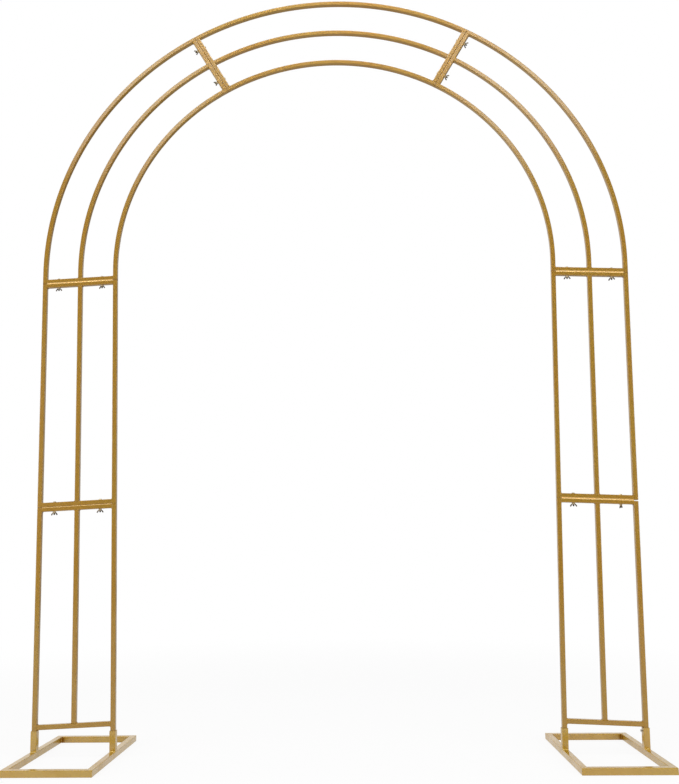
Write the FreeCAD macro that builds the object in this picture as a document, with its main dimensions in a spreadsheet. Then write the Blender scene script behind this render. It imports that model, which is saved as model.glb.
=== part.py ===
import FreeCAD, Part
import os

import Sketcher

# A wedding arch of welded square tube: seven flat panels bolted end to end, on two base frames.
# Frame: +X to the right, +Y to the back, +Z up, origin on the floor midway between the feet.

doc = FreeCAD.newDocument("wedding_arch")
sheet = doc.addObject("Spreadsheet::Sheet", "Sizes")

DRIVING_SIZES = (
    ("TubeSize", 13.5, "panel tube, across the flats"),
    ("TubeWall", 1.0, "panel tube wall"),
    ("Spacing", 112.0, "middle tube to outer or inner tube, centre to centre"),
    ("ArchRadius", 806.0, "middle tube centreline, in the round part"),
    ("LegLean", 2.5, "degrees that each leg leans, feet inwards"),
    ("CrownHalfAngle", 30.0, "degrees from the top of the arch to a crown joint"),
    ("Springing", 31.0, "straight stretch below the round part, down to the springing joint"),
    ("UpperLegLength", 706.0, "springing joint to lower joint"),
    ("LowerLegLength", 619.0, "lower joint to the bottom rail's centreline"),
    ("RailHeight", 86.0, "floor to the bottom rail's centreline, at the middle tube"),
    ("BaseBar", 17.5, "base frame tube, across the flats"),
    ("BaseWall", 1.2, "base frame tube wall"),
    ("BaseDepth", 400.0, "base frame, front to back"),
    ("SocketSize", 17.5, "socket tube, across the flats"),
    ("SocketWall", 1.2, "socket tube wall"),
    ("SocketHeight", 55.0, "socket above the base frame"),
    ("FootClearance", 0.3, "leg tube's end above the base frame, inside its socket"),
    ("BoltOffset", 69.0, "middle tube to a joint bolt"),
    ("BoltDiameter", 5.0, "joint bolt shank"),
    ("BoltHole", 5.6, "bolt hole in a rail"),
    ("BoltTail", 13.0, "bolt shank past the lower rail"),
    ("HeadAcross", 9.2, "hexagonal bolt head, corner to corner"),
    ("HeadHeight", 2.4, "bolt head"),
    ("NutBore", 5.2, "wing nut bore"),
    ("NutFoot", 10.0, "wing nut boss, at its seat"),
    ("NutNeck", 7.6, "wing nut boss, at its tip"),
    ("NutHeight", 5.0, "wing nut boss"),
    ("WingSpan", 20.6, "wing nut over its wings"),
    ("WingReach", 11.6, "wing tip from the seat"),
    ("WingRise", 1.4, "wing root from the seat"),
    ("WingWidth", 4.6, "wing across its blade"),
    ("WingThickness", 1.8, "wing blade"),
    ("ScrewDiameter", 4.0, "socket screw shank"),
    ("ScrewHole", 4.4, "hole in the socket wall"),
    ("ScrewDrop", 9.0, "socket screw below the socket's top"),
    ("ScrewNeck", 2.5, "bare shank between socket and screw head"),
    ("ScrewHead", 5.6, "socket screw head across"),
    ("ScrewGrip", 3.0, "socket screw head along its axis"),
)

for row, (alias, size, remark) in enumerate(DRIVING_SIZES, 1):
    sheet.set(f"A{row}", remark)
    sheet.set(f"B{row}", str(size))
    sheet.setAlias(f"B{row}", alias)
doc.recompute()

# Places worked out from the driving sizes
HALF_TUBE = "Sizes.TubeSize / 2"
INNER_RADIUS = "(Sizes.ArchRadius - Sizes.Spacing)"
OUTER_RADIUS = "(Sizes.ArchRadius + Sizes.Spacing)"
SPRINGING_JOINT = "Sizes.Springing"
LOWER_JOINT = "(Sizes.Springing + Sizes.UpperLegLength)"
BOTTOM_RAIL = "(Sizes.Springing + Sizes.UpperLegLength + Sizes.LowerLegLength)"
LEAN = "Sizes.LegLean"
ARCH_HEIGHT = f"(Sizes.RailHeight + Sizes.ArchRadius * sin({LEAN}) + {BOTTOM_RAIL} * cos({LEAN}))"
SIDE_SWEEP = "90 + Sizes.LegLean - Sizes.CrownHalfAngle"
CROWN_TURN = "Sizes.CrownHalfAngle - 90"
LEVEL = "0"
AXIS = "0 * Sizes.TubeSize"
ROUND_SIDES = 12
HEX_SIDES = 6
SIDES = {"right": 0, "left": 180}
TUBES = {"outer": OUTER_RADIUS, "middle": "Sizes.ArchRadius", "inner": INNER_RADIUS}
BOLT_PLACES = {
    "inner": "(Sizes.ArchRadius - Sizes.BoltOffset)",
    "outer": "(Sizes.ArchRadius + Sizes.BoltOffset)",
}

JOINTS = {
    "lower_joint": (LEAN, LOWER_JOINT),
    "springing": (LEAN, SPRINGING_JOINT),
    "crown": (CROWN_TURN, "0"),
}
SCREW_LEVEL = "(Sizes.BaseBar + Sizes.SocketHeight - Sizes.ScrewDrop)"
# The wall of the outer socket that the screw goes through
SCREW_WALLS = {"right": "inner", "left": "rear"}
# A negative taper draws the boss in towards its tip
NUT_TAPER = "-atan((Sizes.NutFoot - Sizes.NutNeck) / 2 / Sizes.NutHeight)"

# A rail beside a crown joint ends where the rolled outer tube curves in over it
STRAIGHT_REACH = f"({OUTER_RADIUS} - {HALF_TUBE})"
CURVED_REACH = f"sqrt({STRAIGHT_REACH} ^ 2 - Sizes.TubeSize ^ 2)"
# Degrees that a rail takes off the rolled middle tube that ends on it
RAIL_ANGLE = f"(asin(Sizes.TubeSize / (Sizes.ArchRadius - {HALF_TUBE})) / 1 deg)"


def number(expression):
    """The value of an expression of sheet sizes."""
    value = sheet.evalExpression(expression)
    return float(getattr(value, "Value", value))


def foot_place(radius):
    """Distance from the arch's middle to a leg tube's axis, where it meets the base frame."""
    return f"({radius} / cos({LEAN}) - ({ARCH_HEIGHT} - Sizes.BaseBar) * tan({LEAN}))"


def foot_reach(radius):
    """Length along a leaning tube from the arch centre's level to the lowest corner of its end."""
    end = f"{ARCH_HEIGHT} - Sizes.BaseBar - Sizes.FootClearance"
    return f"(({end} - ({radius} + {HALF_TUBE}) * sin({LEAN})) / cos({LEAN}))"


def arch_placement(side, turn):
    """About the arch's centre: turned down by some degrees, and to its own side of the arch."""
    spin = f"rotation(vector(0; 0; 1); {SIDES[side]}) * rotation(vector(0; 1; 0); {turn})"
    return f"placement(vector(0; 0; {ARCH_HEIGHT}); {spin})"


def base_placement(side):
    """On the floor under the arch's middle, facing one side."""
    return f"placement(vector(0; 0; 0); rotation(vector(0; 0; 1); {SIDES[side]}))"


def new_body(label, placement):
    body = doc.addObject("PartDesign::Body", label)
    body.Label = label
    body.setExpression("Placement", placement)
    return body


def new_sketch(body, name, role, lift=None):
    sketch = body.newObject("Sketcher::SketchObject", name)
    ground = next(part for part in body.Origin.OriginFeatures if part.Role == role)
    sketch.AttachmentSupport = [(ground, "")]
    sketch.MapMode = "FlatFace"
    if lift:
        sketch.setExpression("AttachmentOffset.Base.z", lift)
    return sketch


def outline(sketch, corners):
    """A closed outline of straight edges, each corner held at expressions of sheet sizes."""
    first = sketch.GeometryCount
    count = len(corners)
    values = [(number(across), number(along)) for across, along in corners]
    places = [FreeCAD.Vector(across, along, 0) for across, along in values]
    edges = [Part.LineSegment(places[turn], places[(turn + 1) % count]) for turn in range(count)]
    sketch.addGeometry(edges, False)
    rules = [Sketcher.Constraint("Coincident", first + turn, 2, first + (turn + 1) % count, 1)
             for turn in range(count)]
    held = []
    for turn, (corner, value) in enumerate(zip(corners, values)):
        for kind, axis, expression, size in zip(("DistanceX", "DistanceY"), (-2, -1), corner, value):
            if expression == "0":
                rules.append(Sketcher.Constraint("PointOnObject", first + turn, 1, axis))
            else:
                held.append((len(rules), expression))
                rules.append(Sketcher.Constraint(kind, -1, 1, first + turn, 1, size))
    start = sketch.ConstraintCount
    sketch.addConstraint(rules)
    for place, expression in held:
        sketch.setExpression(f"Constraints[{start + place}]", expression)


def rectangle(sketch, across, along, width, height):
    """A rectangle about a centre."""
    low_x = f"{across} - ({width}) / 2"
    high_x = f"{across} + ({width}) / 2"
    low_y = f"{along} - ({height}) / 2"
    high_y = f"{along} + ({height}) / 2"
    outline(sketch, ((low_x, low_y), (high_x, low_y), (high_x, high_y), (low_x, high_y)))


def tube_section(sketch, across, along, size, wall):
    """The hollow square section of a tube, about its axis."""
    rectangle(sketch, across, along, size, size)
    bore = f"{size} - 2 * {wall}"
    rectangle(sketch, across, along, bore, bore)


def many_sided(sketch, across, along, diameter, sides=ROUND_SIDES):
    """A regular outline whose corners lie on a circle, for small round and hexagonal forms."""
    corners = []
    for turn in range(sides):
        angle = (turn + 0.5) * 360 / sides
        reach = f"{diameter} / 2"
        corners.append((f"{across} + {reach} * cos({angle})", f"{along} + {reach} * sin({angle})"))
    outline(sketch, corners)


def pad(body, sketch, length, down=False, both_ways=False, taper=None):
    feature = body.newObject("PartDesign::Pad", f"{sketch.Name}_pad")
    feature.Profile = sketch
    feature.setExpression("Length", length)
    feature.Reversed = down
    feature.Midplane = both_ways
    if taper:
        feature.setExpression("TaperAngle", taper)
    return feature


def cut_through(body, sketch):
    feature = body.newObject("PartDesign::Pocket", f"{sketch.Name}_cut")
    feature.Profile = sketch
    feature.Type = "ThroughAll"
    feature.Midplane = True
    return feature


def revolve(body, sketch, axis, angle, backwards=False, both_ways=False):
    feature = body.newObject("PartDesign::Revolution", f"{sketch.Name}_turn")
    feature.Profile = sketch
    feature.ReferenceAxis = (sketch, [axis])
    feature.setExpression("Angle", angle)
    feature.Reversed = backwards
    feature.Midplane = both_ways
    return feature


def leg_tube(label, side, radius, top, bottom):
    """A straight tube of a leg, between two distances below the arch centre's level."""
    body = new_body(label, arch_placement(side, LEAN))
    sketch = new_sketch(body, f"{label}_section", "XY_Plane", f"-({top})")
    tube_section(sketch, radius, AXIS, "Sizes.TubeSize", "Sizes.TubeWall")
    pad(body, sketch, f"{bottom} - {top}", down=True)
    return body


def side_arch_tube(label, side, radius, trims=("0", "0")):
    """A rolled tube of a side segment, with its short straight end at the springing joint."""
    foot_trim, top_trim = trims
    body = new_body(label, arch_placement(side, LEAN))
    sketch = new_sketch(body, f"{label}_section", "XY_Plane")
    tube_section(sketch, radius, AXIS, "Sizes.TubeSize", "Sizes.TubeWall")
    pad(body, sketch, f"Sizes.Springing - {foot_trim}", down=True)
    revolve(body, sketch, "V_Axis", f"{SIDE_SWEEP} - {top_trim}", backwards=True)
    return body


def crown_tube(label, radius, trim="0"):
    """A rolled tube of the crown segment, even on both sides of the top."""
    body = new_body(label, arch_placement("right", LEVEL))
    sketch = new_sketch(body, f"{label}_section", "YZ_Plane")
    tube_section(sketch, AXIS, radius, "Sizes.TubeSize", "Sizes.TubeWall")
    revolve(body, sketch, "H_Axis", f"2 * (Sizes.CrownHalfAngle - {trim})", both_ways=True)
    return body


def rail(label, side, turn, level, reach=STRAIGHT_REACH, drilled=True):
    """A cross rail, butted between the outer and inner tubes, with its two bolt holes."""
    body = new_body(label, arch_placement(side, turn))
    start = f"{INNER_RADIUS} + {HALF_TUBE}"
    sketch = new_sketch(body, f"{label}_section", "YZ_Plane", start)
    tube_section(sketch, AXIS, level, "Sizes.TubeSize", "Sizes.TubeWall")
    pad(body, sketch, f"{reach} - ({start})")
    if drilled:
        holes = new_sketch(body, f"{label}_holes", "XY_Plane")
        for offset in BOLT_PLACES.values():
            many_sided(holes, offset, AXIS, "Sizes.BoltHole")
        cut_through(body, holes)
    return body


def above(joint):
    return f"-({joint}) + {HALF_TUBE}"


def below(joint):
    return f"-({joint}) - {HALF_TUBE}"


def gather(label, pieces):
    """Like pieces that share one node, none touching another."""
    group = doc.addObject("Part::Compound", label)
    group.Label = label
    group.Links = pieces
    return group


def base_bar_along(label, side, radius, inwards):
    """A side bar of a base frame, mitred at both ends."""
    body = new_body(label, base_placement(side))
    centre = foot_place(radius)
    sketch = new_sketch(body, f"{label}_section", "XZ_Plane")
    tube_section(sketch, centre, "Sizes.BaseBar / 2", "Sizes.BaseBar", "Sizes.BaseWall")
    pad(body, sketch, "Sizes.BaseDepth", both_ways=True)
    mitre = new_sketch(body, f"{label}_mitre", "XY_Plane")
    near = f"{centre} + {inwards} * Sizes.BaseBar / 2"
    far = f"{centre} - {inwards} * Sizes.BaseBar / 2"
    for end in ("1", "-1"):
        tip = f"{end} * Sizes.BaseDepth / 2"
        heel = f"{end} * (Sizes.BaseDepth / 2 - Sizes.BaseBar)"
        outline(mitre, ((far, tip), (near, heel), (near, tip)))
    cut_through(body, mitre)
    return body


def base_bar_across(label, side, end):
    """A front or rear bar of a base frame, mitred at both ends."""
    body = new_body(label, base_placement(side))
    low = f"({foot_place(INNER_RADIUS)} - Sizes.BaseBar / 2)"
    high = f"({foot_place(OUTER_RADIUS)} + Sizes.BaseBar / 2)"
    place = f"{end} * (Sizes.BaseDepth - Sizes.BaseBar) / 2"
    sketch = new_sketch(body, f"{label}_section", "YZ_Plane", low)
    tube_section(sketch, place, "Sizes.BaseBar / 2", "Sizes.BaseBar", "Sizes.BaseWall")
    pad(body, sketch, f"{high} - {low}")
    mitre = new_sketch(body, f"{label}_mitre", "XY_Plane")
    tip = f"{end} * Sizes.BaseDepth / 2"
    heel = f"{end} * (Sizes.BaseDepth / 2 - Sizes.BaseBar)"
    outline(mitre, ((low, tip), (f"{low} + Sizes.BaseBar", heel), (low, heel)))
    outline(mitre, ((high, tip), (f"{high} - Sizes.BaseBar", heel), (high, heel)))
    cut_through(body, mitre)
    return body


def screw_place(radius):
    """Distance from the arch's middle to a leg tube's axis, at the level of the socket screw."""
    return f"({foot_place(radius)} + (Sizes.SocketHeight - Sizes.ScrewDrop) * tan({LEAN}))"


def socket(label, side, radius, screw_wall=None):
    """A socket on a side bar: it leans with the leg, and its foot is cut level."""
    body = new_body(label, base_placement(side))
    sketch = new_sketch(body, f"{label}_section", "XY_Plane", "Sizes.BaseBar")
    centre = foot_place(radius)
    size = "Sizes.SocketSize"
    bore = f"{size} - 2 * Sizes.SocketWall"
    rectangle(sketch, centre, AXIS, f"{size} / cos({LEAN})", size)
    rectangle(sketch, centre, AXIS, f"({bore}) / cos({LEAN})", bore)
    block = pad(body, sketch, "Sizes.SocketHeight")
    block.UseCustomVector = True
    block.AlongSketchNormal = True
    block.setExpression("Direction", f"vector(sin({LEAN}); 0; cos({LEAN}))")
    if screw_wall == "inner":
        drilled = new_sketch(body, f"{label}_hole", "YZ_Plane", centre)
        many_sided(drilled, AXIS, SCREW_LEVEL, "Sizes.ScrewHole")
    elif screw_wall == "rear":
        drilled = new_sketch(body, f"{label}_hole", "XZ_Plane")
        many_sided(drilled, screw_place(radius), SCREW_LEVEL, "Sizes.ScrewHole")
    if screw_wall:
        hole = body.newObject("PartDesign::Pocket", f"{label}_hole_cut")
        hole.Profile = drilled
        hole.Reversed = screw_wall == "rear"
        hole.setExpression("Length", "Sizes.SocketSize")
    return body


def bolt(label, side, turn, joint, offset):
    """A joint bolt: hexagonal head on the upper rail, shank down through both rails."""
    place = f"placement(vector({offset}; 0; -({joint}) + Sizes.TubeSize); rotation(vector(0; 0; 1); 0))"
    body = new_body(label, f"{arch_placement(side, turn)} * {place}")
    shank = new_sketch(body, f"{label}_shank", "XY_Plane")
    many_sided(shank, AXIS, AXIS, "Sizes.BoltDiameter")
    pad(body, shank, "2 * Sizes.TubeSize + Sizes.BoltTail", down=True)
    head = new_sketch(body, f"{label}_head", "XY_Plane")
    many_sided(head, AXIS, AXIS, "Sizes.HeadAcross", HEX_SIDES)
    pad(body, head, "Sizes.HeadHeight")
    return body


def wing_nut(label, side, turn, joint, offset):
    """A wing nut under the lower rail: tapered boss and two blades that spread away from it."""
    place = f"placement(vector({offset}; 0; -({joint}) - Sizes.TubeSize); rotation(vector(0; 0; 1); 0))"
    body = new_body(label, f"{arch_placement(side, turn)} * {place}")
    boss = new_sketch(body, f"{label}_boss", "XY_Plane")
    many_sided(boss, AXIS, AXIS, "Sizes.NutFoot")
    pad(body, boss, "Sizes.NutHeight", down=True, taper=NUT_TAPER)
    blades = new_sketch(body, f"{label}_blades", "XZ_Plane")
    root = "Sizes.NutBore / 2"
    for hand in ("1", "-1"):
        outline(blades, (
            (f"{hand} * {root}", "-Sizes.WingRise"),
            (f"{hand} * Sizes.WingSpan / 2", "-Sizes.WingReach + Sizes.WingWidth"),
            (f"{hand} * Sizes.WingSpan / 2", "-Sizes.WingReach + Sizes.WingThickness / 2"),
            (f"{hand} * (Sizes.WingSpan / 2 - Sizes.WingThickness)", "-Sizes.WingReach"),
            (f"{hand} * {root}", "-Sizes.NutHeight")))
    pad(body, blades, "Sizes.WingThickness", both_ways=True)
    bore = new_sketch(body, f"{label}_bore", "XY_Plane")
    many_sided(bore, AXIS, AXIS, "Sizes.NutBore")
    cut_through(body, bore)
    return body


def socket_screw(label, side, radius, wall):
    """The screw that holds a leg tube in its socket, through the inner or the rear wall."""
    place = screw_place(radius)
    if wall == "inner":
        face = f"{place} - {HALF_TUBE} / cos({LEAN}) - Sizes.FootClearance"
        spot = f"placement(vector({face}; 0; {SCREW_LEVEL}); rotation(vector(0; 1; 0); -90))"
    else:
        face = f"-({HALF_TUBE} + Sizes.FootClearance)"
        spot = f"placement(vector({place}; {face}; {SCREW_LEVEL}); rotation(vector(1; 0; 0); 90))"
    body = new_body(label, f"{base_placement(side)} * {spot}")
    shank = new_sketch(body, f"{label}_shank", "XY_Plane")
    many_sided(shank, AXIS, AXIS, "Sizes.ScrewDiameter")
    seat = "(Sizes.SocketSize - Sizes.TubeSize) / 2 + Sizes.ScrewNeck"
    pad(body, shank, seat)
    head = new_sketch(body, f"{label}_head", "XY_Plane", seat)
    many_sided(head, AXIS, AXIS, "Sizes.ScrewHead")
    pad(body, head, "Sizes.ScrewGrip")
    return body


def joint_pieces(maker, name, turn, joint):
    """The four like pieces at the left and right joints of one level."""
    pieces = []
    for side in SIDES:
        for spot, offset in BOLT_PLACES.items():
            pieces.append(maker(f"{name}_{side}_{spot}_piece", side, turn, joint, offset))
    return gather(name, pieces)


def build_panels():
    nodes = []
    for side in SIDES:
        for tube, radius in TUBES.items():
            trim = "Sizes.TubeSize" if tube == "middle" else "0"
            foot = f"({BOTTOM_RAIL} - {HALF_TUBE})" if tube == "middle" else foot_reach(radius)
            arch_trims = (trim, RAIL_ANGLE) if tube == "middle" else ("0", "0")
            nodes.append(leg_tube(f"{side}_lower_leg_{tube}_tube", side, radius,
                                  f"({LOWER_JOINT} + {trim})", foot))
            nodes.append(leg_tube(f"{side}_upper_leg_{tube}_tube", side, radius,
                                  f"({SPRINGING_JOINT} + {trim})", f"({LOWER_JOINT} - {trim})"))
            nodes.append(side_arch_tube(f"{side}_arch_{tube}_tube", side, radius, arch_trims))
        bottom = rail(f"{side}_lower_leg_bottom_rail", side, LEAN, f"-{BOTTOM_RAIL}", drilled=False)
        lower_top = rail(f"{side}_lower_leg_top_rail", side, LEAN, below(LOWER_JOINT))
        nodes.append(gather(f"{side}_lower_leg_rails", [lower_top, bottom]))
        upper_foot = rail(f"{side}_upper_leg_foot_rail", side, LEAN, above(LOWER_JOINT))
        upper_top = rail(f"{side}_upper_leg_top_rail", side, LEAN, below(SPRINGING_JOINT))
        nodes.append(gather(f"{side}_upper_leg_rails", [upper_foot, upper_top]))
        arch_foot = rail(f"{side}_arch_foot_rail", side, LEAN, above(SPRINGING_JOINT))
        arch_top = rail(f"{side}_arch_top_rail", side, CROWN_TURN, below("0"), CURVED_REACH)
        nodes.append(gather(f"{side}_arch_rails", [arch_foot, arch_top]))
    for tube, radius in TUBES.items():
        nodes.append(crown_tube(f"crown_{tube}_tube", radius, RAIL_ANGLE if tube == "middle" else "0"))
    ends = [rail(f"crown_{side}_rail", side, CROWN_TURN, above("0"), CURVED_REACH) for side in SIDES]
    nodes.append(gather("crown_rails", ends))
    return nodes


def build_bases():
    nodes = []
    for side in SIDES:
        nodes.append(base_bar_along(f"{side}_base_inner_bar", side, INNER_RADIUS, "1"))
        nodes.append(base_bar_along(f"{side}_base_outer_bar", side, OUTER_RADIUS, "-1"))
        nodes.append(base_bar_across(f"{side}_base_front_bar", side, "-1" if side == "right" else "1"))
        nodes.append(base_bar_across(f"{side}_base_rear_bar", side, "1" if side == "right" else "-1"))
        inner = socket(f"{side}_inner_socket_piece", side, INNER_RADIUS)
        outer = socket(f"{side}_outer_socket_piece", side, OUTER_RADIUS, SCREW_WALLS[side])
        nodes.append(gather(f"{side}_sockets", [inner, outer]))
    screws = [socket_screw(f"{side}_socket_screw_piece", side, OUTER_RADIUS, wall)
              for side, wall in SCREW_WALLS.items()]
    nodes.append(gather("socket_screws", screws))
    return nodes


def build_fasteners():
    nodes = []
    for name, (turn, joint) in JOINTS.items():
        nodes.append(joint_pieces(bolt, f"{name}_bolts", turn, joint))
        nodes.append(joint_pieces(wing_nut, f"{name}_wing_nuts", turn, joint))
    return nodes


nodes = build_panels() + build_bases() + build_fasteners()
doc.recompute()

for item in doc.Objects:
    if "Invalid" in item.State or "Error" in item.State:
        raise RuntimeError(f"{item.Label} did not build: {item.State}")
for node in nodes:
    if node.Shape.isNull() or not node.Shape.isValid() or not node.Shape.Solids:
        raise RuntimeError(f"{node.Label} has no valid solid")

os.makedirs("parts", exist_ok=True)
for node in nodes:
    node.Shape.exportStep(f"parts/{node.Label}.step")
print(len(nodes), "nodes,", sum(len(node.Shape.Solids) for node in nodes), "solids")
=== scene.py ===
"""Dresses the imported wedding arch: square tube, weld beads, threaded fasteners, gold paint and a studio."""

import math
from functools import partial

import bmesh
import bpy
from mathutils import Matrix, Vector


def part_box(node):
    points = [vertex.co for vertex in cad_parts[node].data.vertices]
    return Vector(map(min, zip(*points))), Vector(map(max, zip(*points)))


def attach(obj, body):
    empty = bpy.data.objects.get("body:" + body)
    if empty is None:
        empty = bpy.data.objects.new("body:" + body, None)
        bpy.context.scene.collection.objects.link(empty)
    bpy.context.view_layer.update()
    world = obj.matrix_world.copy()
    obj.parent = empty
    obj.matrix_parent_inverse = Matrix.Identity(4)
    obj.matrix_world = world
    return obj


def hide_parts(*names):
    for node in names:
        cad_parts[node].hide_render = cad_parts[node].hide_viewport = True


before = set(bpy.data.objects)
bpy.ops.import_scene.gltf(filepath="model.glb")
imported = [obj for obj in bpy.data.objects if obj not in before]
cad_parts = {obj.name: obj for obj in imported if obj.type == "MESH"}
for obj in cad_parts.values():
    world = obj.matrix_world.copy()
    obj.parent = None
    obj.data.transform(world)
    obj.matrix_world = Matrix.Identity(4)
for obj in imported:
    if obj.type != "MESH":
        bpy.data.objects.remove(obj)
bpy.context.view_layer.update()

bl_info = {
    "name": "Wedding arch",
    "version": (1, 0, 0),
    "blender": (4, 5, 0),
    "location": "3D View > Sidebar > Wedding arch",
    "description": "Builds a round-topped wedding arch of square gold tube on two base frames",
    "category": "Add Mesh",
}

BODY = "root"
PANEL_SLOT = "gold_panel"
BASE_SLOT = "gold_base"
FASTENER_SLOT = "zinc_fastener"
RIGHT, LEFT = 1, -1
SIDE_NAMES = {RIGHT: "right", LEFT: "left"}
ROWS = {"outer": 1, "middle": 0, "inner": -1}
UPRIGHT = Vector((0.0, 0.0, 1.0))
WHITE = (1.0, 1.0, 1.0, 1.0)

# Point attributes that finishes and geometry trees read
EDGE, SEAM, SIZE, TURN = "edge", "seam", "size", "turn"

# Painted shade and painted highlight beside a joint, read off the photo: positive values paint shade into the
# groove of a seam, negative ones paint a highlight below it
PAINTED_SHADE, PAINTED_HIGHLIGHT = 1.0, -1.0
CROWN_SEAM, SPRINGING_SEAM = 0.35 * PAINTED_SHADE, 0.25 * PAINTED_HIGHLIGHT
LOWER_SEAMS = {RIGHT: (0.25 * PAINTED_HIGHLIGHT, 0.9 * PAINTED_HIGHLIGHT), LEFT: (0.45 * PAINTED_SHADE, 0.25 * PAINTED_HIGHLIGHT)}
# Painted shade on the ends of the outer and inner tubes beside a joint
END_SHADE = 0.5

# Last step of a rounded tube end, counted in roundings, and points round a thread
END_STEPS = 6.0
THREAD_STEPS = 24

# How far each wing nut is turned, in degrees, the outline of an ear as shares of its span and reach, and the
# sections across an ear: place as a share of its thickness, and how far the outline shrinks there
WING_SPINS = {
    "springing": (6.0, 14.0, 38.0, 12.0),
    "lower_joint": (10.0, 4.0, 86.0, 28.0),
    "crown": (8.0, 16.0, 12.0, 4.0),
}
WING_KNOTS = ((0.26, 0.06), (0.50, 0.24), (0.68, 0.40), (0.85, 0.55), (0.97, 0.70), (1.0, 0.86), (0.95, 0.97),
              (0.84, 1.0), (0.70, 0.93), (0.58, 0.78), (0.46, 0.62), (0.34, 0.47), (0.26, 0.38))
WING_SECTIONS = ((-0.5, 0.84), (-0.42, 0.95), (-0.25, 1.0), (0.25, 1.0), (0.42, 0.95), (0.5, 0.84))

# Lamps: name, power setting, place, what it is aimed at, and size
LAMPS = (
    ("key_lamp", "key", (0.0, -3.0, 6.0), (0.0, 0.0, 1.4), (4.0, 4.0)),
    ("near_lamp", "near", (0.0, -1.0, 3.8), (0.0, 0.0, 2.3), (1.4, 0.5)),
    ("strip_lamp", "strip", (0.0, -1.7, 5.2), (0.0, 0.0, 1.4), (6.0, 0.4)),
    ("left_window_lamp", "window", (-1.75, -3.5, 4.25), (-0.6, 0.0, 2.0), (1.2, 1.1)),
    ("right_window_lamp", "window", (1.5, -3.5, 4.3), (0.6, 0.0, 2.0), (1.1, 1.1)),
    ("left_lamp", "fill", (-3.8, -3.2, 1.3), (0.0, 0.0, 0.5), (2.2, 2.2)),
    ("right_lamp", "fill", (3.8, -3.2, 1.3), (0.0, 0.0, 0.5), (2.2, 2.2)),
)

# The camera that fits the photo: place, yaw, pitch and roll in degrees, and height of the frame in millimetres
VIEWER_PLACE = (0.07616, -2.33005, 0.54981)
VIEWER_TURN = (1.4519, 11.8542, 0.6463)
FRAME_HEIGHT = 36.0


# Sizes and colours that a user may change

def length(name, description, default):
    return bpy.props.FloatProperty(
        name=name, description=description, default=default, min=0.0, precision=4, unit="LENGTH",
        subtype="DISTANCE")


def angle(name, description, degrees):
    return bpy.props.FloatProperty(
        name=name, description=description, default=math.radians(degrees), unit="ROTATION", subtype="ANGLE")


def amount(name, description, default, top=1.0):
    return bpy.props.FloatProperty(name=name, description=description, default=default, min=0.0, max=top)


def colour(name, description, default):
    return bpy.props.FloatVectorProperty(
        name=name, description=description, default=default, size=3, min=0.0, max=1.0, subtype="COLOR")


class ArchSizes(bpy.types.PropertyGroup):
    tube: length("Tube", "Outside width of the square panel tube", 0.0135)
    wall: length("Tube wall", "Wall thickness of the panel tube", 0.001)
    corner: length("Tube corner", "Outside corner radius of the panel tube", 0.0016)
    spacing: length("Spacing", "Distance between the centrelines of neighbouring tubes", 0.112)
    radius: length("Arch radius", "Radius of the middle tube of the round part", 0.806)
    lean: angle("Lean", "How far each leg leans, feet inwards", 2.5)
    springing: length("Springing", "Straight run below the round part down to the top leg joint", 0.031)
    upper_leg: length("Upper leg", "Length of an upper leg panel", 0.706)
    lower_leg: length("Lower leg", "Lower joint to the bottom rail's centreline", 0.619)
    rail_height: length("Rail height", "Floor to the bottom rail's centreline at the middle tube", 0.086)
    crown: angle("Crown", "Half of the angle that the crown panel spans", 30.0)
    joint_gap: length("Joint gap", "How far a tube's end stays back from a joint", 0.00025)
    rail_corner: length("Rail corner", "Outside radius of a rail's corners", 0.0021)
    seam_border: length("Seam border", "How far past a rail's corner its paint is marked by a seam", 0.0006)
    open_gap: length("Open gap", "How far the one tube end that stands open stays back from its joint", 0.0034)
    end_round: length("End rounding", "Rounding of a cut tube end", 0.00035)
    arc_step: angle("Arc step", "Angle between sections of a rolled tube", 0.9)


class BaseSizes(bpy.types.PropertyGroup):
    bar: length("Base bar", "Outside width of the square base bar", 0.0175)
    wall: length("Base wall", "Wall thickness of the base bar", 0.0012)
    corner: length("Base corner", "Outside corner radius of the base bar", 0.0015)
    # The darker part is painted shade in the inside corner of the rear outer corner
    shaded_end: length("Stained end", "Length of the darker part of a bar at the rear outer corner", 0.022)
    depth: length("Base depth", "Front to back of a base frame", 0.400)
    socket_wall: length("Socket wall", "Wall thickness of a socket", 0.0012)
    socket_corner: length("Socket corner", "Outside corner radius of a socket", 0.0017)
    socket_height: length("Socket height", "Height of a socket above the base bar", 0.055)
    foot_clearance: length("Foot clearance", "Gap under a leg tube in its socket", 0.0003)


class FastenerSizes(bpy.types.PropertyGroup):
    offset: length("Bolt offset", "Distance of a bolt from the middle tube", 0.069)
    bolt: length("Bolt", "Bolt diameter", 0.005)
    pitch: length("Thread pitch", "Distance between turns of the thread", 0.0008)
    tooth: length("Thread depth", "Depth of the thread", 0.0004)
    taper: length("Thread taper", "Length over which the thread runs out at a bolt's end", 0.0009)
    bare: length("Thread start", "How far inside the lower rail a bolt's thread starts", 0.002)
    tail: length("Bolt tail", "How far a bolt reaches past the lower rail", 0.0104)
    head_across: length("Head across", "Hexagon head, corner to corner", 0.0092)
    head_height: length("Head height", "Height of the hexagon head", 0.0024)
    nut_foot: length("Nut foot", "Diameter of a wing nut at the rail", 0.0088)
    nut_neck: length("Nut neck", "Diameter of a wing nut at its top", 0.0066)
    nut_height: length("Nut height", "Height of a wing nut without its wings", 0.005)
    wing_span: length("Wing span", "Tip to tip", 0.0206)
    wing_reach: length("Wing reach", "Height of the wing tips above the rail", 0.0116)
    wing_thickness: length("Wing thickness", "Thickness of a wing", 0.0021)
    screw_drop: length("Screw drop", "Socket top to screw", 0.009)
    screw: length("Screw", "Diameter of a socket screw", 0.004)
    screw_head: length("Screw head", "Diameter of the socket screw's head", 0.0056)
    screw_neck: length("Screw neck", "Length of the bare neck under the head", 0.0025)
    screw_grip: length("Screw grip", "Length of the head", 0.003)


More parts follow.
